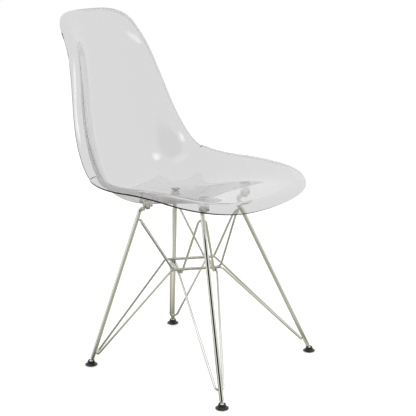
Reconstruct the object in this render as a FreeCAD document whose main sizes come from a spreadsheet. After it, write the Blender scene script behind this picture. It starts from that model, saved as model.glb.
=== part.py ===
"""Side chair: a clear moulded seat shell on a chromed wire base with tilting glides.

The chair faces -Y and +X is the sitter's left.  The floor is z = 0 and the origin lies
under the middle of the chair's box.  All lengths are millimetres.
"""
import FreeCAD, Part
import math
import os

import Sketcher

Vector = FreeCAD.Vector
Rotation = FreeCAD.Rotation
Placement = FreeCAD.Placement
UP = Vector(0, 0, 1)

doc = FreeCAD.newDocument("side_chair")

# Driving dimensions, one named cell each.
SIZES = {
    # Wire base, as centre lines seen from above
    "front_foot_x": 195,
    "front_foot_y": -237,
    "rear_foot_x": 165.5,
    "rear_foot_y": 149,
    "front_mount_x": 85,
    "front_mount_y": -117.5,
    "rear_mount_x": 56,
    "rear_mount_y": 58.5,
    "front_plate_z": 402.5,
    "rear_plate_z": 379.5,
    "cross_y": -30.5,
    "cross_z": 239.9,
    # Legs
    "leg_diameter": 10,
    "front_stub": 13.8,
    "rear_stub": 10.5,
    "front_bend_radius": 8.5,
    "rear_bend_radius": 11.5,
    "ball_diameter": 10,
    "ball_z": 8.8,
    "neck_diameter": 4.2,
    "neck_top": 7,
    "shoulder_top": 8.3,
    # Brace loops
    "wire_diameter": 5.5,
    "weld_gap": 0.15,
    "upper_bar_half_length": 55.8,
    "lower_bar_half_length": 58.8,
    "upper_bar_offset": 38.2,
    "lower_bar_offset": 44.2,
    "hairpin_radius": 9,
    "hairpin_flat": 0.6,
    "bar_bend_radius": 13,
    "front_upper_hairpin_z": 370.5,
    "rear_upper_hairpin_z": 345.5,
    "front_lower_hairpin_z": 34.5,
    "rear_lower_hairpin_z": 28.5,
    # Glides
    "glide_diameter": 29,
    "sole_diameter": 21,
    "rim_underside": 2.2,
    "rim_thickness": 1.2,
    "collar_base_diameter": 18,
    "collar_base_z": 6.6,
    "collar_top_diameter": 16,
    "collar_above_ball": 3.7,
    "socket_clearance": 0.3,
    "socket_half_angle": 61,
    "socket_floor_share": 0.6,
    "socket_wall_low_share": 0.4,
    "socket_wall_high_share": 0.15,
    "collar_slot_width": 2.2,
    "collar_slot_above_base": 0.6,
    # Mounts and their screws
    "plate_diameter": 24,
    "plate_thickness": 3,
    "screw_diameter": 6,
    "screw_length": 14,
    "screw_hole_clearance": 0.5,
    "head_diameter": 12,
    "head_height": 4.2,
    "head_rim_share": 0.45,
    "head_crown_share": 0.7,
    "drive_width": 4,
    "drive_depth": 2.4,
    "flat_washer_diameter": 12,
    "flat_washer_thickness": 1.2,
    "spring_washer_diameter": 10.6,
    "spring_washer_thickness": 1.6,
    "spring_washer_split": 1.2,
    "rod_end_gap": 7,
    "insert_diameter": 8.6,
    "insert_length": 10,
    "insert_bore_clearance": 0.2,
    "boss_diameter": 22,
    "boss_draft": 1,
    "insert_end_room": 1,
    # Seat shell
    "wall": 4,
    "trim_margin": 12,
    "rim_band": 0.2,
    "rim_roll_limit": 1.2,
    "rim_roll_fade": 1.6,
    "side_sweep_start": 0.35,
    "bowl_share": 0.08,
    "front_roll": 14.4,
    "top_roll": 11,
    "front_corner_depth": 140,
    "front_squareness": 2.2,
    "top_corner_depth": 64.5,
    "top_squareness": 3.3,
}

# Stations down the middle of the shell: y, z, half width, and how far the sides rise.
STATIONS = {
    "lip": (-267.5, 431, 236, 1.5),
    "crest": (-181.5, 433, 238, 12.5),
    "pan_front": (-73.5, 417, 239.5, 37),
    "pan_low": (31.5, 395, 238, 60),
    "bend": (126.5, 411.5, 223.5, 67),
    "lumbar": (180.5, 500, 202.5, 49),
    "mid_back": (210.5, 634, 169, 32.5),
    "shoulder": (229.5, 747, 140, 12.5),
    "top": (257, 818, 123, 0.5),
}
for station, values in STATIONS.items():
    for part_name, value in zip(("y", "z", "half", "rise"), values):
        SIZES[f"{station}_{part_name}"] = value

sheet = doc.addObject("Spreadsheet::Sheet", "Sizes")
for row, (alias, value) in enumerate(SIZES.items(), start=1):
    sheet.set(f"A{row}", alias.replace("_", " "))
    sheet.set(f"B{row}", str(value))
    sheet.setAlias(f"B{row}", alias)
doc.recompute()


def size(alias):
    """The number in one cell of the sheet."""
    return float(sheet.get(alias))


def cell(alias):
    """The same cell as text for an expression."""
    return f"Sizes.{alias}"


NODES = []


def node(obj, label):
    """Gives a finished sub-part its name and lists it for export."""
    obj.Label = label
    NODES.append(obj)
    return obj


SIDES = {"right": -1, "left": 1}
CORNERS = [(end, side) for end in ("front", "rear") for side in SIDES]


def corner_point(end, side, what, z=0.0):
    """A foot or mount axis of one corner, at height z."""
    return Vector(SIDES[side] * size(f"{end}_{what}_x"), size(f"{end}_{what}_y"), z)


# Sketch helpers


def body_sketch(body, name, plane_role, offset=None):
    """A sketch on one of the body's own origin planes."""
    sketch = body.newObject("Sketcher::SketchObject", name)
    plane = next(f for f in body.Origin.OriginFeatures if f.Role == plane_role)
    sketch.AttachmentSupport = [(plane, "")]
    sketch.MapMode = "FlatFace"
    if offset:
        sketch.setExpression("AttachmentOffset.Base.z", offset)
    return sketch


def bind(sketch, kind, *where, to):
    """Adds a dimension and ties it to an expression of sheet cells."""
    value = float(sketch.evalExpression(to))
    index = sketch.addConstraint(Sketcher.Constraint(kind, *where, value))
    sketch.setExpression(f"Constraints[{index}]", to)
    return index


def circle(sketch, diameter, x="0", y="0"):
    """A circle at x, y (expressions) with its diameter from the sheet."""
    edge = sketch.addGeometry(Part.Circle(Vector(0, 0, 0), UP, 5), False)
    if x == "0" and y == "0":
        sketch.addConstraint(Sketcher.Constraint("Coincident", edge, 3, -1, 1))
    else:
        bind(sketch, "DistanceX", -1, 1, edge, 3, to=x)
        bind(sketch, "DistanceY", -1, 1, edge, 3, to=y)
    bind(sketch, "Diameter", edge, to=diameter)
    return edge


def outline(sketch, corners, arcs=None, free=()):
    """A closed outline through corners given as (x, y) expressions.

    arcs maps the side that leaves a corner to its centre, and free lists the (corner,
    axis) pairs that an arc already fixes.
    """
    arcs = arcs or {}
    spots = [Vector(*(float(sketch.evalExpression(e)) for e in c), 0) for c in corners]
    edges = []
    for i, start in enumerate(spots):
        end = spots[(i + 1) % len(spots)]
        if i in arcs:
            centre = Vector(*(float(sketch.evalExpression(e)) for e in arcs[i]), 0)
            angles = [math.atan2(p.y - centre.y, p.x - centre.x) for p in (start, end)]
            round_edge = Part.Circle(centre, UP, start.distanceToPoint(centre))
            shape = Part.ArcOfCircle(round_edge, *angles)
        else:
            shape = Part.LineSegment(start, end)
        edges.append(sketch.addGeometry(shape, False))
    for i, edge in enumerate(edges):
        following = edges[(i + 1) % len(edges)]
        sketch.addConstraint(Sketcher.Constraint("Coincident", edge, 2, following, 1))
        if i in arcs:
            place_point(sketch, edge, 3, arcs[i])
        place_point(sketch, edge, 1, corners[i], skip=[a for c, a in free if c == i])
    return edges


def place_point(sketch, edge, end, where, skip=()):
    """Ties one point of an edge to (x, y) expressions measured from the origin."""
    for axis, line, kind, expression in (
        ("x", -2, "DistanceX", where[0]),
        ("y", -1, "DistanceY", where[1]),
    ):
        if axis in skip:
            continue
        value = float(sketch.evalExpression(expression))
        if expression == "0":
            sketch.addConstraint(Sketcher.Constraint("PointOnObject", edge, end, line))
        elif value < 0:
            bind(sketch, kind, edge, end, -1, 1, to=f"-({expression})")
        else:
            bind(sketch, kind, -1, 1, edge, end, to=expression)


def turn(body, sketch, name, cut=False):
    """Spins a sketch one full turn about the body's Z axis."""
    kind = "PartDesign::Groove" if cut else "PartDesign::Revolution"
    feature = body.newObject(kind, name)
    feature.Profile = sketch
    feature.ReferenceAxis = (sketch, ["V_Axis"])
    feature.Angle = 360
    return feature


def pad(body, sketch, name, length, reverse=False):
    """Pads a sketch by an expression."""
    feature = body.newObject("PartDesign::Pad", name)
    feature.Profile = sketch
    feature.setExpression("Length", length)
    feature.Reversed = reverse
    return feature


def pocket(body, sketch, name, length, reverse=False):
    """Cuts a sketch by an expression."""
    feature = body.newObject("PartDesign::Pocket", name)
    feature.Profile = sketch
    feature.setExpression("Length", length)
    feature.Reversed = reverse
    return feature


# Legs: one chromed rod each, turned to a ball at the foot and bent level under its plate


def plan_reach(end):
    """Expression for the level distance from the foot to the rod's upper corner."""
    plan = (
        f"sqrt(pow({cell(end + '_foot_x')} - {cell(end + '_mount_x')}; 2)"
        f" + pow({cell(end + '_foot_y')} - {cell(end + '_mount_y')}; 2))"
    )
    sign = "+" if end == "front" else "-"
    return f"({plan} {sign} {cell('rod_end_gap')} {sign} {cell(end + '_stub')})"


def corner_rise(end):
    """Expression for the height from the ball to the rod's upper corner."""
    return (
        f"({cell(end + '_plate_z')} - {cell('plate_thickness')}"
        f" - {cell('leg_diameter')} / 2 - {cell('ball_z')})"
    )


def leg_vector(end, side):
    """The rod's direction and the distance from its ball to its upper corner."""
    reach = float(sheet.evalExpression(plan_reach(end).replace("Sizes.", "")))
    rise = float(sheet.evalExpression(corner_rise(end).replace("Sizes.", "")))
    level = corner_point(end, side, "mount") - corner_point(end, side, "foot")
    level.normalize()
    return level * reach + Vector(0, 0, rise)


def leg_frame(end, side):
    """Placement whose origin is the ball's centre and whose Z axis runs up the rod."""
    along = leg_vector(end, side)
    heading = math.degrees(math.atan2(along.y, along.x))
    lean = math.degrees(math.atan2(math.hypot(along.x, along.y), along.z))
    rotation = Rotation(UP, heading) * Rotation(Vector(0, 1, 0), lean)
    return Placement(corner_point(end, side, "foot", size("ball_z")), rotation)


def leg(end, side):
    """One leg: a turned ball and neck, then a round rod swept up and round its bend."""
    body = doc.addObject("PartDesign::Body", f"Leg_{end}_{side}")
    reach, rise = plan_reach(end), corner_rise(end)
    shaft = f"sqrt(pow({reach}; 2) + pow({rise}; 2))"
    sign = -1 if end == "front" else 1
    stub = f"{cell(end + '_stub')} / {shaft}"

    path = body_sketch(body, f"Path_{end}_{side}", "XZ_Plane")
    corner_z = float(path.evalExpression(shaft))
    level = Vector(*(float(path.evalExpression(e)) for e in (rise, reach)), 0) / corner_z
    corner = Vector(0, corner_z, 0)
    toward = level * sign
    tip = corner + toward * size(end + "_stub")
    radius = size(end + "_bend_radius")
    opening = math.acos(max(-1, min(1, Vector(0, -1, 0).dot(toward))))
    tangent = radius / math.tan(opening / 2)
    bend_start = corner - Vector(0, tangent, 0)
    bend_end = corner + toward * tangent
    centre = bend_start + Vector(sign * radius, 0, 0)
    angles = [math.atan2(p.y - centre.y, p.x - centre.x) for p in (bend_start, bend_end)]
    bend_ends = (1, 2)
    if sign > 0:
        angles.reverse()
        bend_ends = (2, 1)
    arc = Part.ArcOfCircle(Part.Circle(centre, UP, radius), *angles)
    start = Vector(0, size("shoulder_top"), 0)
    straight = path.addGeometry(Part.LineSegment(start, bend_start), False)
    bend = path.addGeometry(arc, False)
    last = path.addGeometry(Part.LineSegment(bend_end, tip), False)
    apex = path.addGeometry(Part.Point(corner), True)
    path.addConstraint(Sketcher.Constraint("Tangent", straight, 2, bend, bend_ends[0]))
    path.addConstraint(Sketcher.Constraint("Tangent", bend, bend_ends[1], last, 1))
    path.addConstraint(Sketcher.Constraint("PointOnObject", apex, 1, last))
    bind(path, "Radius", bend, to=cell(end + "_bend_radius"))
    place_point(path, straight, 1, ("0", cell("shoulder_top")))
    place_point(path, apex, 1, ("0", shaft))
    tip_x = f"{sign} * {stub} * {rise}"
    tip_y = f"{shaft} + {sign} * {stub} * {reach}"
    place_point(path, last, 2, (tip_x, tip_y))

    section = body_sketch(body, f"Section_{end}_{side}", "XY_Plane", cell("shoulder_top"))
    circle(section, cell("leg_diameter"))
    doc.recompute()
    rod = body.newObject("PartDesign::AdditivePipe", f"Rod_{end}_{side}")
    rod.Profile = section
    rod.Spine = (path, ["Edge1", "Edge2", "Edge3"])
    doc.recompute()

    foot = body_sketch(body, f"Foot_{end}_{side}", "XZ_Plane")
    ball, neck = f"{cell('ball_diameter')} / 2", f"{cell('neck_diameter')} / 2"
    outline(
        foot,
        [
            ("0", f"-{ball}"),
            (neck, f"sqrt(pow({ball}; 2) - pow({neck}; 2))"),
            (neck, cell("neck_top")),
            (f"{cell('leg_diameter')} / 2", cell("shoulder_top")),
            ("0", cell("shoulder_top")),
        ],
        arcs={0: ("0", "0")},
        free=[(0, "y")],
    )
    turn(body, foot, f"Ball_{end}_{side}")
    body.Placement = leg_frame(end, side)
    return node(body, f"leg_{end}_{side}")


for end, side in CORNERS:
    leg(end, side)

# Brace loops: closed chromed wires that run leg to leg along both diagonals


def rounded_loop(points, radii):
    """Edges of a closed line of straight runs joined by arcs of the given radii."""
    count = len(points)
    cuts = []
    for i, point in enumerate(points):
        back = (points[i - 1] - point).normalize()
        ahead = (points[(i + 1) % count] - point).normalize()
        half = math.acos(max(-1, min(1, back.dot(ahead)))) / 2
        reach = radii[i] / math.tan(half)
        bisector = (back + ahead).normalize()
        middle = point + bisector * (radii[i] / math.sin(half) - radii[i])
        cuts.append((point + back * reach, middle, point + ahead * reach))
    edges = []
    for i, (enter, middle, leave) in enumerate(cuts):
        edges.append(Part.Arc(enter, middle, leave).toShape())
        edges.append(Part.LineSegment(leave, cuts[(i + 1) % count][0]).toShape())
    return edges


def round_wire(edges, diameter):
    """Round wire along joined straight and round edges."""
    pieces = []
    for edge in edges:
        start = edge.valueAt(edge.FirstParameter)
        heading = edge.tangentAt(edge.FirstParameter)
        disc = Part.Face(Part.Wire(Part.makeCircle(diameter / 2, start, heading)))
        if isinstance(edge.Curve, Part.Circle):
            turn_angle = math.degrees(edge.LastParameter - edge.FirstParameter)
            pieces.append(disc.revolve(edge.Curve.Center, edge.Curve.Axis, turn_angle))
        else:
            pieces.append(disc.extrude(heading * edge.Length))
    return pieces[0].multiFuse(pieces[1:]).removeSplitter()


def on_leg(end, side, height):
    """The point of a leg's centre line at one height, and the leg's direction."""
    foot = corner_point(end, side, "foot", size("ball_z"))
    along = leg_vector(end, side)
    return foot + along * ((height - foot.z) / along.z), along.normalize()


def hairpin(end, side, level, across):
    """The two corners of the hairpin that is welded inside one leg."""
    spot, along = on_leg(end, side, size(f"{end}_{level}_hairpin_z"))
    inward = (Vector(0, size("cross_y"), spot.z) - spot).normalize()
    level_line = inward.cross(UP)
    common = along.cross(level_line).normalize()
    touch = (size("leg_diameter") + size("wire_diameter")) / 2 + size("weld_gap")
    apex = spot + inward * (touch / abs(inward.dot(common)))
    if level_line.dot(across) < 0:
        level_line = -level_line
    return apex, level_line


def hairpin_half(arm_reach, offset):
    """Half the width between a hairpin's corners that leaves it fully round."""
    radius = size("hairpin_radius")
    spread = math.atan((offset - radius) / arm_reach)
    return radius * math.tan((math.pi / 2 - spread) / 2) + size("hairpin_flat") / 2


def brace(level, layer):
    """One closed loop: two level bars at the middle and a hairpin at each leg."""
    ends = (("rear", "right"), ("front", "left"))
    if layer == "under":
        ends = (("rear", "left"), ("front", "right"))
    sign = -SIDES[ends[0][1]]
    forward = Vector(sign, -1, 0).normalize()
    across = forward.cross(UP)
    drop = size("wire_diameter") + size("weld_gap") if layer == "under" else 0
    middle = Vector(0, size("cross_y"), size("cross_z") - drop)
    half = size(level + "_bar_half_length")
    offset = size(level + "_bar_offset")
    radius = size("hairpin_radius")

    rear_apex, rear_line = hairpin(*ends[0], level, across)
    front_apex, front_line = hairpin(*ends[1], level, across)
    rear_half = hairpin_half(rear_apex.distanceToPoint(middle - forward * half), offset)
    front_half = hairpin_half(front_apex.distanceToPoint(middle + forward * half), offset)
    points = [
        rear_apex - rear_line * rear_half,
        rear_apex + rear_line * rear_half,
        middle - forward * half + across * offset,
        middle + forward * half + across * offset,
        front_apex + front_line * front_half,
        front_apex - front_line * front_half,
        middle + forward * half - across * offset,
        middle - forward * half - across * offset,
    ]
    bend = size("bar_bend_radius")
    edges = rounded_loop(points, [radius, radius, bend, bend] * 2)
    loop = doc.addObject("Part::Feature", f"Brace_{level}_{layer}")
    loop.Shape = round_wire(edges, size("wire_diameter"))
    return node(loop, f"{level}_brace_{layer}")


for level in ("upper", "lower"):
    for layer in ("over", "under"):
        brace(level, layer)

# Mount plates: round steel plates welded on the rod ends


def mount_plate(end, side):
    """One plate with the hole for its screw."""
    body = doc.addObject("PartDesign::Body", f"Plate_{end}_{side}")
    face = body_sketch(body, f"PlateFace_{end}_{side}", "XY_Plane")
    circle(face, cell("plate_diameter"))
    circle(face, f"{cell('screw_diameter')} + {cell('screw_hole_clearance')}")
    pad(body, face, f"PlatePad_{end}_{side}", cell("plate_thickness"), reverse=True)
    body.Placement.Base = corner_point(end, side, "mount", size(f"{end}_plate_z"))
    return node(body, f"mount_plate_{end}_{side}")


for end, side in CORNERS:
    mount_plate(end, side)

# Fasteners: one master of each, repeated at the four mounts


def repeat_at_mounts(master, label, height):
    """A group of four copies, each at its mount and at height above the plate's top."""
    copies = []
    for end, side in CORNERS:
        copy = doc.addObject("App::Link", f"{label}_{end}_{side}")
        copy.LinkedObject = master
        spot = corner_point(end, side, "mount", size(f"{end}_plate_z") + height)
        copy.LinkPlacement = Placement(spot, Rotation())
        copies.append(copy)
    group = doc.addObject("Part::Compound", f"Group_{label}")
    group.Links = copies
    return node(group, label)


def washer(name, outer, thickness):
    """A flat ring that the screw passes through."""
    body = doc.addObject("PartDesign::Body", name)
    face = body_sketch(body, name + "_face", "XY_Plane")
    circle(face, outer)
    circle(face, f"{cell('screw_diameter')} + {cell('screw_hole_clearance')} / 2")
    pad(body, face, name + "_pad", thickness, reverse=True)
    return body


flat_washer = washer("FlatWasher", cell("flat_washer_diameter"), cell("flat_washer_thickness"))
spring_washer = washer(
    "SpringWasher", cell("spring_washer_diameter"), cell("spring_washer_thickness")
)
split = body_sketch(spring_washer, "Split", "XY_Plane")
half_split = f"{cell('spring_washer_split')} / 2"
outline(
    split,
    [
        (f"-{half_split}", "0"),
        (half_split, "0"),
        (half_split, cell("spring_washer_diameter")),
        (f"-{half_split}", cell("spring_washer_diameter")),
    ],
)
pocket(spring_washer, split, "SplitCut", cell("spring_washer_thickness"))

screw = doc.addObject("PartDesign::Body", "Screw")
head_radius, head_height = f"{cell('head_diameter')} / 2", cell("head_height")
head_profile = body_sketch(screw, "HeadProfile", "XZ_Plane")
outline(
    head_profile,
    [
        ("0", "0"),
        (head_radius, "0"),
        (head_radius, f"-{head_height} * {cell('head_rim_share')}"),
        (f"{head_radius} * {cell('head_crown_share')}", f"-{head_height}"),
        ("0", f"-{head_height}"),
    ],
)
turn(screw, head_profile, "Head")
shank_face = body_sketch(screw, "ShankFace", "XY_Plane")
circle(shank_face, cell("screw_diameter"))
pad(screw, shank_face, "Shank", cell("screw_length"))
drive_face = body_sketch(screw, "DriveFace", "XY_Plane", f"-{head_height}")
flat = f"{cell('drive_width')} / 2"
outline(
    drive_face,
    [
        (f"{flat} / cos(30) * cos({angle})", f"{flat} / cos(30) * sin({angle})")
        for angle in (30, 90, 150, 210, 270, 330)
    ],
)
pocket(screw, drive_face, "Drive", cell("drive_depth"), reverse=True)

# Threaded inserts: brass bushes pressed into the bosses under the seat

insert = doc.addObject("PartDesign::Body", "Insert")
insert_profile = body_sketch(insert, "InsertProfile", "XZ_Plane")
insert_radius = f"{cell('insert_diameter')} / 2"
insert_bore = f"({cell('screw_diameter')} + {cell('insert_bore_clearance')}) / 2"
insert_length = cell("insert_length")
outline(
    insert_profile,
    [
        (insert_bore, "0"),
        (insert_radius, "0"),
        (insert_radius, insert_length),
        (insert_bore, insert_length),
    ],
)
turn(insert, insert_profile, "Bush")

doc.recompute()
under_plate = -size("plate_thickness")
under_flat = under_plate - size("flat_washer_thickness")
under_spring = under_flat - size("spring_washer_thickness")
repeat_at_mounts(flat_washer, "flat_washers", under_plate)
repeat_at_mounts(spring_washer, "spring_washers", under_flat)
repeat_at_mounts(screw, "mounting_screws", under_spring)
repeat_at_mounts(insert, "threaded_inserts", 0)

# Glides: black nylon feet whose slotted collars snap over the rods' balls


def glide(end, side):
    """One glide with its ball socket, resting flat on the floor."""
    body = doc.addObject("PartDesign::Body", f"Glide_{end}_{side}")
    disc, sole = f"{cell('glide_diameter')} / 2", f"{cell('sole_diameter')} / 2"
    ball_z, under = cell("ball_z"), cell("rim_underside")
    socket = f"({cell('ball_diameter')} / 2 + {cell('socket_clearance')})"
    opening, above = cell("socket_half_angle"), cell("collar_above_ball")

    profile = body_sketch(body, f"GlideProfile_{end}_{side}", "XZ_Plane")
    outline(
        profile,
        [
            ("0", "0"),
            (sole, "0"),
            (disc, under),
            (disc, f"{under} + {cell('rim_thickness')}"),
            (f"{cell('collar_base_diameter')} / 2", cell("collar_base_z")),
            (f"{cell('collar_top_diameter')} / 2", f"{ball_z} + {above}"),
            ("0", f"{ball_z} + {above}"),
        ],
    )
    turn(body, profile, f"GlideForm_{end}_{side}")
    cavity = body_sketch(body, f"Socket_{end}_{side}", "XZ_Plane")
    outline(
        cavity,
        [
            ("0", f"{ball_z} - {socket}"),
            (f"{socket} * {cell('socket_floor_share')}", f"{ball_z} - {socket}"),
            (socket, f"{ball_z} - {socket} * {cell('socket_wall_low_share')}"),
            (socket, f"{ball_z} + {socket} * {cell('socket_wall_high_share')}"),
            (f"{socket} * sin({opening})", f"{ball_z} + {socket} * cos({opening})"),
            (f"{above} * tan({opening})", f"{ball_z} + {above}"),
            ("0", f"{ball_z} + {above}"),
        ],
    )
    turn(body, cavity, f"SocketCut_{end}_{side}", cut=True)
    slot_floor = f"{cell('collar_base_z')} + {cell('collar_slot_above_base')}"
    slot = body_sketch(body, f"Slot_{end}_{side}", "XY_Plane", slot_floor)
    half_slot = f"{cell('collar_slot_width')} / 2"
    outline(
        slot,
        [
            (f"-{half_slot}", f"-{disc}"),
            (half_slot, f"-{disc}"),
            (half_slot, disc),
            (f"-{half_slot}", disc),
        ],
    )
    cut = pocket(body, slot, f"SlotCut_{end}_{side}", ball_z, reverse=True)
    doc.recompute()
    crossed = body.newObject("PartDesign::PolarPattern", f"Slots_{end}_{side}")
    crossed.Originals = [cut]
    crossed.Axis = (slot, ["N_Axis"])
    crossed.Angle = 180
    crossed.Occurrences = 2
    body.Tip = crossed
    heading = leg_vector(end, side)
    turned = Rotation(UP, math.degrees(math.atan2(heading.y, heading.x)) + 45)
    body.Placement = Placement(corner_point(end, side, "foot"), turned)
    return node(body, f"glide_{end}_{side}")


for end, side in CORNERS:
    glide(end, side)

# Seat shell: one clear moulding, dished for the sitter, with a rolled rim and four bosses


def station_curves():
    """Middle line and (half width, side rise) of the shell over one shared length."""
    line = [Vector(0, size(f"{name}_y"), size(f"{name}_z")) for name in STATIONS]
    lengths = [0.0]
    for before, after in zip(line, line[1:]):
        lengths.append(lengths[-1] + before.distanceToPoint(after))
    shape = [Vector(size(f"{name}_half"), size(f"{name}_rise"), 0) for name in STATIONS]
    curves = []
    for points in (line, shape):
        curve = Part.BSplineCurve()
        curve.interpolate(Points=points, Parameters=lengths)
        curves.append(curve)
    return curves[0], curves[1], lengths[-1]


MIDDLE, SPREAD, LENGTH = station_curves()


def corner_measure(across, past, squareness):
    """How far out a place lies in a rounded corner: 1 is on the shell's outline."""
    return (across**squareness + past**squareness) ** (1 / squareness)


def outline_measure(along, across):
    """Distance measure of a place on the shell, 0 at the middle and 1 at the rim."""
    front, top = size("front_corner_depth"), size("top_corner_depth")
    if along < front:
        return corner_measure(across, (front - along) / front, size("front_squareness"))
    if along > LENGTH - top:
        past = (along - LENGTH + top) / top
        return corner_measure(across, past, size("top_squareness"))
    return across


def side_lift(across):
    """Share of the side rise reached at a share of the half width."""
    start = size("side_sweep_start")
    part = min(1, max(0, (across - start) / (1 - start)))
    bowl = size("bowl_share")
    return (1 - bowl) * part * part * (3 - 2 * part) + bowl * across * across


def rim_roll(along, across):
    """How far the rim rolls away from the sitter near the front lip and the top edge."""
    band = size("rim_band")
    limit, fade = size("rim_roll_limit"), size("rim_roll_fade")
    depth = max(0, (outline_measure(along, across) - 1 + band) / band)
    bend = min(depth, limit) * (2 * depth - min(depth, limit))
    front_fade = max(0, min(1, 1 - along / (fade * size("front_corner_depth"))))
    top_fade = max(0, min(1, 1 - (LENGTH - along) / (fade * size("top_corner_depth"))))
    return bend * (size("front_roll") * front_fade + size("top_roll") * top_fade)


def shell_point(along, across):
    """Point in the middle of the wall; across is a share of the half width."""
    held = min(LENGTH, max(0, along))
    tangent = MIDDLE.tangent(held)[0]
    upward = Vector(0, -tangent.z, tangent.y)
    spread = SPREAD.value(held)
    lift = spread.y * side_lift(abs(across)) - rim_roll(along, abs(across))
    point = MIDDLE.value(held) + tangent * (along - held) + upward * lift
    return Vector(across * spread.x, point.y, point.z)


def shell_outline():
    """The shell's outline as (along, across) places, once round from the front lip."""
    steps, side_steps = 10, 12
    front, top = size("front_corner_depth"), size("top_corner_depth")
    half = []
    for i in range(steps):
        angle = math.pi / 2 * i / steps
        power = 2 / size("front_squareness")
        half.append((front * (1 - math.cos(angle) ** power), math.sin(angle) ** power))
    for i in range(side_steps):
        half.append((front + (LENGTH - top - front) * i / side_steps, 1.0))
    for i in range(steps + 1):
        angle = math.pi / 2 * i / steps
        power = 2 / size("top_squareness")
        across = max(0.0, math.cos(angle)) ** power
        half.append((LENGTH - top * (1 - math.sin(angle) ** power), across))
    return half + [(along, -across) for along, across in reversed(half[1:-1])]


def shell_normal(along, across):
    """Unit vector out of the wall on the sitter's side."""
    step = 0.5
    share = step / size("pan_low_half")
    forward = shell_point(along + step, across) - shell_point(along - step, across)
    sideways = shell_point(along, across + share) - shell_point(along, across - share)
    return sideways.cross(forward).normalize()


def eased(share):
    """A share of the way that moves slower near both ends, where the shell bends most."""
    return (share + (1 - math.cos(math.pi * share)) / 2) / 2


def shell_face(distance, around):
    """One face of the wall, offset from its middle and trimmed to the outline."""
    rows, columns = 28, 22
    margin, spill = size("trim_margin"), 1 + size("trim_margin") / size("pan_front_half")
    across = [spill * (2 * eased(j / columns) - 1) for j in range(columns + 1)]
    grid = []
    for i in range(rows + 1):
        along = -margin + (LENGTH + 2 * margin) * eased(i / rows)
        places = [(along, share) for share in across]
        grid.append([shell_point(*p) + shell_normal(*p) * distance for p in places])
    surface = Part.BSplineSurface()
    surface.interpolate(grid)
    rim_points = [shell_point(*p) + shell_normal(*p) * distance for p in around]
    trim = Part.Geom2d.BSplineCurve2d()
    flat = [FreeCAD.Base.Vector2d(*surface.parameter(point)) for point in rim_points]
    trim.interpolate(Points=flat, PeriodicFlag=True)
    rim = trim.toShape(surface)
    return Part.Face(surface, Part.Wire([rim])), rim


def shell_skin():
    """The moulding without its bosses: two offset faces joined by the rim."""
    around = shell_outline()
    inner, inner_rim = shell_face(size("wall") / 2, around)
    outer, outer_rim = shell_face(-size("wall") / 2, around)
    skin = Part.Shell([inner, outer, Part.makeRuledSurface(inner_rim, outer_rim)])
    skin.sewShape()
    solid = Part.Solid(Part.Shell(skin.Faces))
    if solid.Volume < 0:
        solid.reverse()
    return solid


def boss(skin, end, side):
    """Drafted boss from the plate up to the underside of the seat."""
    foot = corner_point(end, side, "mount", size(f"{end}_plate_z"))
    radius = size("boss_diameter") / 2
    reach = size("crest_z") + size("wall") - foot.z
    draft = math.tan(math.radians(size("boss_draft")))
    cone = Part.makeCone(radius, radius + reach * draft, reach, foot, UP)
    return min(cone.cut(skin).Solids, key=lambda piece: piece.CenterOfMass.z)


def insert_hole(end, side):
    """Blind hole for a threaded insert, with room past its end for the screw."""
    foot = corner_point(end, side, "mount", size(f"{end}_plate_z"))
    depth = size("insert_length") + size("insert_end_room")
    return Part.makeCylinder(size("insert_diameter") / 2, depth, foot, UP)


skin = shell_skin()
shell = skin.multiFuse([boss(skin, *corner) for corner in CORNERS]).removeSplitter()
for corner in CORNERS:
    shell = shell.cut(insert_hole(*corner))
seat = doc.addObject("Part::Feature", "SeatShell")
seat.Shape = shell.Solids[0] if len(shell.Solids) == 1 else shell
node(seat, "seat_shell")

# Check every object and sub-part, then write the nodes

doc.recompute()
failed = [o.Name for o in doc.Objects if "Invalid" in o.State or "Error" in o.State]
for obj in NODES:
    if obj.Shape.isNull() or not obj.Shape.isValid() or not obj.Shape.Solids:
        failed.append(obj.Label)
if failed:
    raise SystemExit(f"failed objects: {failed}")

os.makedirs("parts", exist_ok=True)
for obj in NODES:
    obj.Shape.exportStep(f"parts/{obj.Label}.step")
    box = obj.Shape.BoundBox
    print(obj.Label, len(obj.Shape.Solids), round(obj.Shape.Volume), box)
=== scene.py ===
"""A clear moulded shell chair on a chromed wire base, dressed over its CAD frame.

Lengths are metres in the CAD's own frame: the floor is z = 0, the chair faces -Y and +X is
the sitter's left.
"""

import math

import bmesh
import bpy
import numpy as np
from mathutils import Matrix, Vector


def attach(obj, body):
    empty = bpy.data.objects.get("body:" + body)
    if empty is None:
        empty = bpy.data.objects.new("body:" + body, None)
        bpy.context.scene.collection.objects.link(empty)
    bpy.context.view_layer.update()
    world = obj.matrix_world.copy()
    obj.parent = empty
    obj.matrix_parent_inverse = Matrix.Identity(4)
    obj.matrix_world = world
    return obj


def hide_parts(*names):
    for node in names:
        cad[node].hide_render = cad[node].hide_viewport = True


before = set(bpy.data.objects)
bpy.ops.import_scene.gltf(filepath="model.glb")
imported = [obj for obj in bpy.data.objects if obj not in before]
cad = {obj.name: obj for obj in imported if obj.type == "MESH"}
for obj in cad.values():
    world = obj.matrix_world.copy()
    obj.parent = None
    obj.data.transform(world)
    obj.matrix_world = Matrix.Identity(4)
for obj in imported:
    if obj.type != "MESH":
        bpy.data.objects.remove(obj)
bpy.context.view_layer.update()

# Camera: a long lens a metre above the floor, three quarters round to the chair's right
# side.  Its place was fitted to the feet and the rims in the photograph.
CAMERA_AZIMUTH = math.radians(-56.38)
CAMERA_ELEVATION = math.radians(14.52)
CAMERA_DISTANCE = 2.4386
CAMERA_TARGET = Vector((0.01456, -0.0616, 0.374))
FRAME_PIXELS = 416
FOCAL_PIXELS = 1060.3
SENSOR_WIDTH = 36

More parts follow.
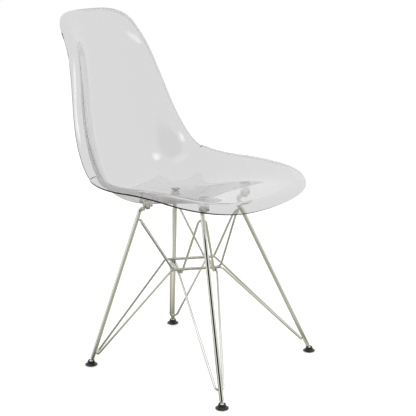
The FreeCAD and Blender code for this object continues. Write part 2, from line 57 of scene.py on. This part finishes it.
camera_data = bpy.data.cameras.new("camera")
camera_data.sensor_width = SENSOR_WIDTH
camera_data.lens = SENSOR_WIDTH * FOCAL_PIXELS / FRAME_PIXELS
camera = bpy.data.objects.new("camera", camera_data)
bpy.context.collection.objects.link(camera)
toward_camera = Vector((
    math.sin(CAMERA_AZIMUTH) * math.cos(CAMERA_ELEVATION),
    -math.cos(CAMERA_AZIMUTH) * math.cos(CAMERA_ELEVATION),
    math.sin(CAMERA_ELEVATION),
))
camera.location = CAMERA_TARGET + toward_camera * CAMERA_DISTANCE
camera.rotation_euler = (-toward_camera).to_track_quat("-Z", "Y").to_euler()
bpy.context.scene.camera = camera
bpy.context.scene.view_settings.view_transform = "Standard"

# Studio: a large sheet of matt white paper under soft boxes, with cards round it that show
# only in mirrors: painted reflections, dark and bright, on the chrome and the clear plastic.


def linear(hex_colour):
    """A colour written as sRGB hex, as linear RGBA."""
    channels = [int(hex_colour[i:i + 2], 16) / 255 for i in (1, 3, 5)]
    steps = [c / 12.92 if c <= 0.04045 else ((c + 0.055) / 1.055) ** 2.4 for c in channels]
    return (*steps, 1)


def add_node(tree, kind, inputs=(), **settings):
    """Adds a node, makes its settings, and sets or links the inputs given by name or index."""
    added = tree.nodes.new(kind)
    for name, value in settings.items():
        setattr(added, name, value)
    for name, value in dict(inputs).items():
        if isinstance(value, bpy.types.NodeSocket):
            tree.links.new(value, added.inputs[name])
        else:
            added.inputs[name].default_value = value
    return added


BACKDROP_WHITE = "#FFFFFF"
ROOM_LIGHT = "#F4F5F8"
ROOM_STRENGTH = 0.72

world = bpy.data.worlds.new("studio")
world.use_nodes = True
bpy.context.scene.world = world
tree = world.node_tree
tree.nodes.clear()
path = add_node(tree, "ShaderNodeLightPath")
seen_or_mirrored = add_node(tree, "ShaderNodeMath", {
    0: path.outputs["Is Camera Ray"], 1: path.outputs["Is Glossy Ray"]}, operation="MAXIMUM")
background_ray = add_node(tree, "ShaderNodeMath", {
    0: seen_or_mirrored.outputs[0], 1: path.outputs["Is Transmission Ray"]}, operation="MAXIMUM")
room = add_node(tree, "ShaderNodeBackground", {
    "Color": linear(ROOM_LIGHT), "Strength": ROOM_STRENGTH})
white = add_node(tree, "ShaderNodeBackground", {"Color": linear(BACKDROP_WHITE), "Strength": 1})
mixed = add_node(tree, "ShaderNodeMixShader", {
    0: background_ray.outputs[0], 1: room.outputs[0], 2: white.outputs[0]})
add_node(tree, "ShaderNodeOutputWorld", {"Surface": mixed.outputs[0]})


def new_material(name):
    """An empty node material and its tree."""
    material = bpy.data.materials.new(name)
    material.use_nodes = True
    material.node_tree.nodes.clear()
    return material, material.node_tree


def mesh_object(name, bm):
    """Turns a finished bmesh into an object at the origin."""
    mesh = bpy.data.meshes.new(name)
    bm.to_mesh(mesh)
    bm.free()
    made = bpy.data.objects.new(name, mesh)
    bpy.context.collection.objects.link(made)
    return made


# The paper is white to the camera and through the shell.  Mirrors see it in painted
# reflections, tones that change round the chair: without them the rods are one flat colour.
PAPER_HALF_WIDTH = 14
PAPER_COLOUR = "#F2F2F2"
PAPER_GLOW = 0.42
# Painted reflection tones by heading, which is counted anticlockwise from -X in turns
PAINTED_FLOOR_REFLECTIONS = {
    0.0: "#BDBCA8", 0.2: "#C6C5B3", 0.28: "#DCDBD0", 0.306: "#807F6C", 0.33: "#D2D1C4",
    0.5: "#CFCEC2", 0.58: "#D6D5CA", 0.615: "#6E6D5C", 0.65: "#D2D1C4", 0.75: "#FFFFFF",
    0.86: "#D6D5C9", 0.92: "#5E5D4C", 0.985: "#A9A896",
}

paper, tree = new_material("matt_white_paper")
matt = add_node(tree, "ShaderNodeBsdfDiffuse", {"Color": linear(PAPER_COLOUR)})
glow = add_node(tree, "ShaderNodeEmission", {
    "Color": linear(BACKDROP_WHITE), "Strength": PAPER_GLOW})
glowing = add_node(tree, "ShaderNodeAddShader", {0: matt.outputs[0], 1: glow.outputs[0]})
pure_white = add_node(tree, "ShaderNodeEmission", {"Color": linear(BACKDROP_WHITE), "Strength": 1})
# Painted reflections: glossy rays see the floor in the tones set by heading
place = add_node(tree, "ShaderNodeTexCoord")
heading = add_node(tree, "ShaderNodeTexGradient", {
    "Vector": place.outputs["Object"]}, gradient_type="RADIAL")
painted_reflection_ramp = add_node(tree, "ShaderNodeValToRGB", {"Fac": heading.outputs["Fac"]})
stops = painted_reflection_ramp.color_ramp.elements
for turn, colour in PAINTED_FLOOR_REFLECTIONS.items():
    stop = stops.new(turn) if turn else stops[0]
    stop.color = linear(colour)
stops[-1].color = linear(PAINTED_FLOOR_REFLECTIONS[0.0])
painted_reflection_glow = add_node(tree, "ShaderNodeEmission", {"Color": painted_reflection_ramp.outputs["Color"], "Strength": 1})
path = add_node(tree, "ShaderNodeLightPath")
looked_at = add_node(tree, "ShaderNodeMixShader", {
    0: path.outputs["Is Camera Ray"], 1: matt.outputs[0], 2: glowing.outputs[0]})
mirrored = add_node(tree, "ShaderNodeMixShader", {
    0: path.outputs["Is Glossy Ray"], 1: looked_at.outputs[0], 2: painted_reflection_glow.outputs[0]})
mixed = add_node(tree, "ShaderNodeMixShader", {
    0: path.outputs["Is Transmission Ray"], 1: mirrored.outputs[0], 2: pure_white.outputs[0]})
add_node(tree, "ShaderNodeOutputMaterial", {"Surface": mixed.outputs[0]})

bm = bmesh.new()
bmesh.ops.create_grid(bm, x_segments=1, y_segments=1, size=PAPER_HALF_WIDTH)
floor = mesh_object("paper_floor", bm)
floor.data.materials.append(paper)


def soft_box(name, place, width, height, power):
    """A rectangular soft box that points at the middle of the chair."""
    lamp_data = bpy.data.lights.new(name, "AREA")
    lamp_data.shape = "RECTANGLE"
    lamp_data.size, lamp_data.size_y = width, height
    lamp_data.energy = power
    lamp = bpy.data.objects.new(name, lamp_data)
    bpy.context.collection.objects.link(lamp)
    lamp.location = place
    lamp.rotation_euler = (CHAIR_MIDDLE - Vector(place)).to_track_quat("-Z", "Y").to_euler()
    lamp.visible_glossy = lamp.visible_transmission = False


CHAIR_MIDDLE = Vector((0, 0, 0.4))
soft_box("overhead_box", (0, -0.4, 3.2), width=2.4, height=2.4, power=42)
soft_box("window_box", (-2.6, 0.9, 1.9), width=1.2, height=1.6, power=16)
soft_box("fill_box", (1.8, -2.6, 1.6), width=1.6, height=1.6, power=12)


def mirror_card(name, heading, lift, distance, width, tall, colour, strength, edge):
    """A soft-edged card of painted reflection that only mirrors see, turned towards the wire base.

    Heading is in degrees from -Y towards +X and lift in degrees above the level.  The edge
    is the share of the card's width over which it fades out.
    """
    material, tree = new_material(name)
    place = add_node(tree, "ShaderNodeTexCoord")
    off_centre = add_node(tree, "ShaderNodeVectorMath", {
        0: place.outputs["UV"], 1: (0.5, 0.5, 0)}, operation="DISTANCE")
    fade = add_node(tree, "ShaderNodeMapRange", {
        "Value": off_centre.outputs["Value"], "From Min": 0.5 - edge, "From Max": 0.5,
        "To Min": 1, "To Max": 0}, interpolation_type="SMOOTHSTEP")
    clear = add_node(tree, "ShaderNodeBsdfTransparent")
    shade = add_node(tree, "ShaderNodeEmission", {"Color": linear(colour), "Strength": strength})
    mixed = add_node(tree, "ShaderNodeMixShader", {
        0: fade.outputs[0], 1: clear.outputs[0], 2: shade.outputs[0]})
    add_node(tree, "ShaderNodeOutputMaterial", {"Surface": mixed.outputs[0]})

    bm = bmesh.new()
    bm.loops.layers.uv.new("spread")
    bmesh.ops.create_grid(bm, x_segments=1, y_segments=1, size=0.5, calc_uvs=True)
    bmesh.ops.scale(bm, vec=(width, tall, 1), verts=bm.verts)
    round_chair = Matrix.Rotation(math.radians(heading), 3, "Z")
    upright = Matrix.Rotation(math.radians(90 - lift), 3, "X")
    bmesh.ops.rotate(bm, matrix=round_chair @ upright, verts=bm.verts)
    away = Vector((0, -math.cos(math.radians(lift)), math.sin(math.radians(lift)))) * distance
    centre = round_chair @ away + Vector((0, 0, CARD_AIM_HEIGHT))
    bmesh.ops.translate(bm, vec=centre, verts=bm.verts)
    card = mesh_object(name, bm)
    card.data.materials.append(material)
    card.visible_camera = card.visible_diffuse = card.visible_shadow = False
    card.visible_transmission = card.visible_volume_scatter = False


# Painted reflections: the dark card gives the leaning rods their dark core, and the small
# bright one makes the painted highlights on the backrest.
CARD_AIM_HEIGHT = 0.3
mirror_card("painted_dark_reflection", heading=-52, lift=24, distance=3.0, width=5.0, tall=3.2,
            colour="#100E06", strength=1, edge=0.12)
mirror_card("painted_overhead_reflection", heading=-70, lift=56, distance=2.6, width=2.6, tall=1.5,
            colour="#EEF2FF", strength=2.4, edge=0.2)
mirror_card("painted_side_reflection", heading=75, lift=-8, distance=2.6, width=1.0, tall=1.2,
            colour="#EEF2FF", strength=1.7, edge=0.25)
mirror_card("highlight", heading=5, lift=37, distance=3.0, width=2.0, tall=0.8,
            colour="#FFFFFF", strength=5, edge=0.45)

# Seat shell: one clear polycarbonate moulding, 4 mm thick and polished on both sides.  It is
# dished at the seat, bends up into the back and rolls away from the sitter at its rim.
SHELL_WALL = 0.004
RIM_ROUND = 0.0014
# Each station: y, z, half width, side rise, down the middle from the front lip to the top
SHELL_STATIONS = {
    "lip": (-0.2675, 0.431, 0.236, 0.0015),
    "crest": (-0.1815, 0.433, 0.238, 0.0125),
    "pan_front": (-0.0735, 0.417, 0.2395, 0.037),
    "pan_low": (0.0315, 0.395, 0.238, 0.060),
    "bend": (0.1265, 0.4115, 0.2235, 0.067),
    "lumbar": (0.1805, 0.500, 0.2025, 0.049),
    "mid_back": (0.2105, 0.634, 0.169, 0.0325),
    "shoulder": (0.2295, 0.747, 0.140, 0.0125),
    "top": (0.257, 0.818, 0.123, 0.0005),
}
FRONT_CORNER_DEPTH, FRONT_SQUARENESS = 0.140, 2.2
TOP_CORNER_DEPTH, TOP_SQUARENESS = 0.0645, 3.3
FRONT_ROLL, TOP_ROLL, SIDE_ROLL = 0.0144, 0.011, 0.012
# The rim is bent over a band along the outline and would run on straight past the limit.
# The roll of each end fades out over so many depths of that end's corners
RIM_BAND, ROLL_LIMIT, ROLL_FADE = 0.2, 1.2, 1.6
# The sides rise from this share of the half width, and a share of the rise is a plain bowl
SIDE_SWEEP_START, BOWL_SHARE = 0.38, 0.08


def smooth_line(lengths, values):
    """Slopes at the given lengths of the smoothest curve through the values."""
    steps = np.diff(lengths)
    rates = np.diff(values, axis=0) / steps[:, None]
    count = len(lengths)
    rows, wanted = np.eye(count), np.zeros_like(values)
    for i in range(1, count - 1):
        rows[i, i - 1:i + 2] = steps[i], 2 * (steps[i - 1] + steps[i]), steps[i - 1]
        wanted[i] = 3 * (steps[i] * rates[i - 1] + steps[i - 1] * rates[i])
    for end, near, far in ((0, 0, 1), (-1, -1, -2)):
        share = steps[near] / (steps[near] + steps[far])
        wanted[end] = rates[near] * (1 + share) - rates[far] * share
    return np.linalg.solve(rows, wanted)


stations = np.array(list(SHELL_STATIONS.values()))
station_lengths = np.concatenate(
    ([0], np.cumsum(np.hypot(*np.diff(stations[:, :2], axis=0).T))))
station_slopes = smooth_line(station_lengths, stations)
SHELL_LENGTH = station_lengths[-1]


def station(along):
    """Middle line y and z, half width and side rise at one length, with their slopes."""
    last_stretch = len(station_lengths) - 2
    i = min(last_stretch, int(np.searchsorted(station_lengths, along, "right")) - 1)
    step = station_lengths[i + 1] - station_lengths[i]
    share = (along - station_lengths[i]) / step
    start, end = stations[i], stations[i + 1]
    leaving, arriving = station_slopes[i] * step, station_slopes[i + 1] * step
    square = 3 * (end - start) - 2 * leaving - arriving
    cube = 2 * (start - end) + leaving + arriving
    value = start + share * (leaving + share * (square + share * cube))
    slope = leaving + share * (2 * square + 3 * share * cube)
    return value, slope / step


def rim_measure(along, across):
    """0 at the middle of the shell and 1 on its outline."""
    if along < FRONT_CORNER_DEPTH:
        past, power = 1 - along / FRONT_CORNER_DEPTH, FRONT_SQUARENESS
    else:
        past = max(0, 1 - (SHELL_LENGTH - along) / TOP_CORNER_DEPTH)
        power = TOP_SQUARENESS
    return (abs(across) ** power + past ** power) ** (1 / power)


def shell_point(along, across):
    """A point in the middle of the wall, across being a share of the half width."""
    (y, z, half, rise), slope = station(along)
    level = Vector((0, slope[0], slope[1])).normalized()
    upward = Vector((0, -level.z, level.y))
    front = max(0, 1 - along / (ROLL_FADE * FRONT_CORNER_DEPTH))
    top = max(0, 1 - (SHELL_LENGTH - along) / (ROLL_FADE * TOP_CORNER_DEPTH))
    side_roll = SIDE_ROLL * (1 - front) * (1 - top)
    sweep = min(1, max(0, (abs(across) - SIDE_SWEEP_START) / (1 - SIDE_SWEEP_START)))
    side_shape = (1 - BOWL_SHARE) * sweep * sweep * (3 - 2 * sweep) + BOWL_SHARE * across ** 2
    lift = (rise + side_roll) * side_shape
    depth = max(0, (rim_measure(along, across) - 1 + RIM_BAND) / RIM_BAND)
    bend = min(depth, ROLL_LIMIT) * (2 * depth - min(depth, ROLL_LIMIT))
    lift -= bend * (FRONT_ROLL * front + TOP_ROLL * top + side_roll)
    return Vector((across * half, y, z)) + upward * lift


def end_curve(across, depth, squareness):
    """How far in from the end of the shell its outline lies, at a share of the half width."""
    return depth * (1 - (1 - min(1, abs(across)) ** squareness) ** (1 / squareness))


SHELL_COLUMNS, SHELL_ROWS = 120, 200
# Rows lie closer at both ends, where the columns also draw together towards the corners
ROUND_END_SHARE = 0.2
RIM_STEPS = 4
RIM_ANGLE = math.radians(50)

bm = bmesh.new()
bmesh.ops.create_grid(bm, x_segments=SHELL_COLUMNS, y_segments=SHELL_ROWS, size=1)
for vert in bm.verts:
    share = (1 + vert.co.y) / 2
    share = (share + (1 - math.cos(math.pi * share)) / 2) / 2
    rounding = max(0, 1 - min(share, 1 - share) / ROUND_END_SHARE) ** 2
    across = vert.co.x + (math.sin(vert.co.x * math.pi / 2) - vert.co.x) * rounding
    front = end_curve(across, FRONT_CORNER_DEPTH, FRONT_SQUARENESS)
    top = SHELL_LENGTH - end_curve(across, TOP_CORNER_DEPTH, TOP_SQUARENESS)
    vert.co = shell_point(front + (top - front) * share, across)
for face in bm.faces:
    face.smooth = True
shell = mesh_object("clear_shell", bm)
wall = shell.modifiers.new("wall", "SOLIDIFY")
wall.thickness, wall.offset = SHELL_WALL, 0
rim = shell.modifiers.new("rounded_rim", "BEVEL")
rim.width, rim.segments = RIM_ROUND, RIM_STEPS
rim.limit_method, rim.angle_limit = "ANGLE", RIM_ANGLE
rim.harden_normals = True

# Polycarbonate, injection moulded and polished: clear with a trace of smoke, darkened by
# painted shade where the wall is seen edge on, and gently rippled where the melt flowed
SHELL_TINT = "#D9D8D9"
# Painted shade: the darker colour the wall turns to where it is seen edge on, past this facing
SHELL_EDGE_PAINTED_SHADE = "#8E919D"
EDGE_ON = 0.78
SHELL_SMOKE, SMOKE_DENSITY = "#BBBCC1", 9
POLISH_ROUGHNESS, POLYCARBONATE_IOR = 0.02, 1.585
FLOW_SIZE, FLOW_DEPTH = 0.05, 0.001


def fine_relief(tree, size, detail, strength, depth):
    """A bump from noise with patches of one size."""
    place = add_node(tree, "ShaderNodeTexCoord")
    patches = add_node(tree, "ShaderNodeTexNoise", {
        "Vector": place.outputs["Object"], "Scale": 1 / size, "Detail": detail})
    return add_node(tree, "ShaderNodeBump", {
        "Height": patches.outputs[0], "Strength": strength, "Distance": depth}).outputs[0]


polycarbonate, tree = new_material("clear_polycarbonate")
# Painted shade: the base colour darkens towards the edge colour where the wall is seen edge on
slant = add_node(tree, "ShaderNodeLayerWeight", {"Blend": 0.5})
painted_edge_shade_mask = add_node(tree, "ShaderNodeMapRange", {
    "Value": slant.outputs["Facing"], "From Min": EDGE_ON, "From Max": 1},
    interpolation_type="SMOOTHSTEP")
tint_and_painted_edge_shade = add_node(tree, "ShaderNodeMix", {
    0: painted_edge_shade_mask.outputs[0], 6: linear(SHELL_TINT), 7: linear(SHELL_EDGE_PAINTED_SHADE)}, data_type="RGBA")
ripple = fine_relief(tree, FLOW_SIZE, detail=1, strength=0.05, depth=FLOW_DEPTH)
surface = add_node(tree, "ShaderNodeBsdfPrincipled", {
    "Base Color": tint_and_painted_edge_shade.outputs[2], "Roughness": POLISH_ROUGHNESS, "IOR": POLYCARBONATE_IOR,
    "Transmission Weight": 1, "Normal": ripple})
smoke = add_node(tree, "ShaderNodeVolumeAbsorption", {
    "Color": linear(SHELL_SMOKE), "Density": SMOKE_DENSITY})
add_node(tree, "ShaderNodeOutputMaterial", {
    "Surface": surface.outputs[0], "Volume": smoke.outputs[0]})
shell.data.materials.append(polycarbonate)

# Bosses: part of the same moulding, four drafted pillars that reach down from the seat to
# the mount plates.  Each has a blind hole from below that a threaded insert is pressed into.
BOSS_RADIUS, BOSS_DRAFT = 0.011, math.radians(1)
INSERT_RADIUS, INSERT_ROOM = 0.0043, 0.011
BOSS_SIDES = 64
# Foot of each boss on the sitter's left: x, y, z
BOSS_FEET = {"front": (0.085, -0.1175, 0.4025), "rear": (0.056, 0.0585, 0.3795)}
HEIGHT_TRIES = 30
# The same plastic in a lighter tint, so that wall and boss together aren't too dark
BOSS_TINT, BOSS_ROUGHNESS = "#F4F4F4", 0.05

boss_plastic, tree = new_material("clear_polycarbonate_boss")
surface = add_node(tree, "ShaderNodeBsdfPrincipled", {
    "Base Color": linear(BOSS_TINT), "Roughness": BOSS_ROUGHNESS, "IOR": POLYCARBONATE_IOR,
    "Transmission Weight": 1})
add_node(tree, "ShaderNodeOutputMaterial", {"Surface": surface.outputs[0]})


def wall_height(x, y):
    """Height of the middle of the seat's wall over a point of the floor."""
    low, high = 0, SHELL_LENGTH / 2
    for _ in range(HEIGHT_TRIES):
        along = (low + high) / 2
        (_, _, half, _), _ = station(along)
        point = shell_point(along, x / half)
        low, high = (along, high) if point.y < y else (low, along)
    return point.z


def grow_ring(bm, ring, radius, height):
    """Extrudes a ring of edges to a radius and a height, and gives the new ring."""
    grown = bmesh.ops.extrude_edge_only(bm, edges=ring)["geom"]
    for vert in (part for part in grown if isinstance(part, bmesh.types.BMVert)):
        flat = Vector((vert.co.x, vert.co.y, 0)).normalized() * radius
        vert.co = flat + Vector((0, 0, height))
    return [part for part in grown if isinstance(part, bmesh.types.BMEdge) and part.is_boundary]


bosses = []
for end, (x, y, foot) in BOSS_FEET.items():
    for side, way in (("right", -1), ("left", 1)):
        tall = wall_height(way * x, y) - SHELL_WALL / 2 - foot
        bm = bmesh.new()
        bmesh.ops.create_circle(bm, cap_ends=False, segments=BOSS_SIDES, radius=INSERT_RADIUS)
        mouth = list(bm.edges)
        foot_ring = grow_ring(bm, mouth, BOSS_RADIUS, 0)
        top_ring = grow_ring(bm, foot_ring, BOSS_RADIUS + tall * math.tan(BOSS_DRAFT), tall)
        well_ring = grow_ring(bm, mouth, INSERT_RADIUS, INSERT_ROOM)
        bmesh.ops.contextual_create(bm, geom=top_ring)
        bmesh.ops.contextual_create(bm, geom=well_ring)
        bmesh.ops.recalc_face_normals(bm, faces=bm.faces)
        for face in bm.faces:
            face.smooth = len(face.verts) == 4
        bmesh.ops.translate(bm, vec=(way * x, y, foot), verts=bm.verts)
        boss = mesh_object(f"boss_{end}_{side}", bm)
        boss.data.materials.append(boss_plastic)
        bosses.append(boss)

for piece in (shell, *bosses):
    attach(piece, "chair")
    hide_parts("seat_shell")

# Rods, plates and brace wires: cold drawn steel, bent, welded and bright chrome plated.  The
# plate is a hard mirror, barely broken by haze and by the draw marks of the wire under it.
CHROME_COLOUR = "#D8D8D0"
CHROME_HAZE_SIZE = 0.012
# Draw marks are finer than this, and are drawn as coarse as they need to show
DRAW_MARK_SIZE, DRAW_MARK_DEPTH = 0.0016, 0.0002
NOISE_LOW, NOISE_HIGH = 0.3, 0.7


def patchy_roughness(tree, size, detail, smoothest, roughest):
    """A roughness that drifts between two values over patches of one size."""
    place = add_node(tree, "ShaderNodeTexCoord")
    patches = add_node(tree, "ShaderNodeTexNoise", {
        "Vector": place.outputs["Object"], "Scale": 1 / size, "Detail": detail})
    return add_node(tree, "ShaderNodeMapRange", {
        "Value": patches.outputs[0], "From Min": NOISE_LOW, "From Max": NOISE_HIGH,
        "To Min": smoothest, "To Max": roughest}).outputs[0]


def finish_node(name, material):
    """Gives a CAD node its material."""
    cad[name].data.materials.clear()
    cad[name].data.materials.append(material)


chrome, tree = new_material("bright_chrome_plate")
haze = patchy_roughness(tree, CHROME_HAZE_SIZE, detail=3, smoothest=0.03, roughest=0.09)
marks = fine_relief(tree, DRAW_MARK_SIZE, detail=2, strength=0.04, depth=DRAW_MARK_DEPTH)
metal = add_node(tree, "ShaderNodeBsdfPrincipled", {
    "Base Color": linear(CHROME_COLOUR), "Metallic": 1, "Roughness": haze, "Normal": marks})
add_node(tree, "ShaderNodeOutputMaterial", {"Surface": metal.outputs[0]})

CORNERS = [f"{end}_{side}" for end in ("front", "rear") for side in ("right", "left")]
for corner in CORNERS:
    finish_node(f"leg_{corner}", chrome)
    finish_node(f"mount_plate_{corner}", chrome)
for level in ("upper", "lower"):
    for layer in ("over", "under"):
        finish_node(f"{level}_brace_{layer}", chrome)

# Screws and washers: steel with a bright zinc plate, a satin grey.  They clamp the mount
# plates to the bosses from below, so they show only from low down and through the seat.
ZINC_COLOUR = "#A9ABAE"
METAL_GRAIN = 0.0008


def satin_metal(name, colour, smoothest, roughest):
    """A metal whose fine grain softens what it mirrors."""
    material, tree = new_material(name)
    grain = patchy_roughness(tree, METAL_GRAIN, 2, smoothest, roughest)
    metal = add_node(tree, "ShaderNodeBsdfPrincipled", {
        "Base Color": linear(colour), "Metallic": 1, "Roughness": grain})
    add_node(tree, "ShaderNodeOutputMaterial", {"Surface": metal.outputs[0]})
    return material


zinc = satin_metal("bright_zinc_plate", ZINC_COLOUR, smoothest=0.22, roughest=0.38)
for name in ("mounting_screws", "spring_washers", "flat_washers"):
    finish_node(name, zinc)

# Threaded inserts: brass bushes, turned and pressed into the bosses.  They show as small
# dull yellow shapes through the clear plastic.
BRASS_COLOUR = "#9A8450"
finish_node("threaded_inserts", satin_metal(
    "turned_brass", BRASS_COLOUR, smoothest=0.25, roughest=0.4))

# Glides: black nylon, injection moulded in a mould with a fine texture, so that they have a
# soft sheen.  Their slotted collars snap over the balls at the ends of the rods.
NYLON_COLOUR = "#12120C"
NYLON_ROUGHNESS, NYLON_IOR = 0.32, 1.53
MOULD_TEXTURE, TEXTURE_DEPTH = 0.0007, 0.0002

nylon, tree = new_material("black_moulded_nylon")
texture = fine_relief(tree, MOULD_TEXTURE, detail=2, strength=0.3, depth=TEXTURE_DEPTH)
surface = add_node(tree, "ShaderNodeBsdfPrincipled", {
    "Base Color": linear(NYLON_COLOUR), "Roughness": NYLON_ROUGHNESS, "IOR": NYLON_IOR,
    "Normal": texture})
add_node(tree, "ShaderNodeOutputMaterial", {"Surface": surface.outputs[0]})
for corner in CORNERS:
    finish_node(f"glide_{corner}", nylon)
